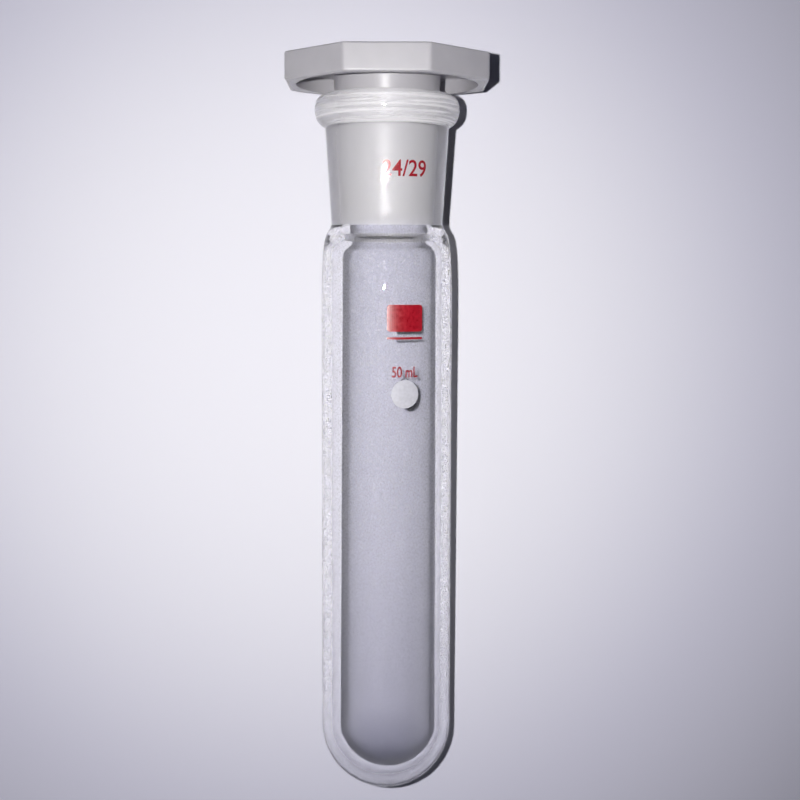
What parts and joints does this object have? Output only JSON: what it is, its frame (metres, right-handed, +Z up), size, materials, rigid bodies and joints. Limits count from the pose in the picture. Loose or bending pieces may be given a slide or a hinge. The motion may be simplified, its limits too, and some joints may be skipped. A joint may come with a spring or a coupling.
{
  "type": "stoppered glass tube",
  "caption": "Round-bottom glass tube with a ground taper socket, closed by a plastic taper stopper with a flat octagonal head.",
  "frame": {"origin": "on the bench under the middle of the object's box, with the tube lying on its round bottom and one flat of the stopper's head", "axes": "+Y from the round bottom towards the stopper, +Z up, +X to the right seen from the round bottom; the tube's own axis rises 2.96 degrees towards the stopper"},
  "size_m": [0.045, 0.169, 0.0452],
  "materials": {
    "borosilicate_glass": "clear and polished; finely ground inside the socket",
    "stopper_plastic": "satin moulded, faintly translucent white",
    "white_enamel": "fired on the glass, matt enough to write on",
    "red_enamel": "fired on the glass, semi-gloss"
  },
  "bodies": {
    "tube": {"glass_tube": "borosilicate_glass", "marking_spot": "white_enamel", "mark_block": "red_enamel"},
    "stopper": {"stopper": "stopper_plastic"}
  },
  "joints": [
    {"name": "stopper_pull", "type": "slide", "parent": "tube", "child": "stopper", "axis": [0, 0.9987, 0.0516], "range_m": [0, 0.04]}
  ]
}
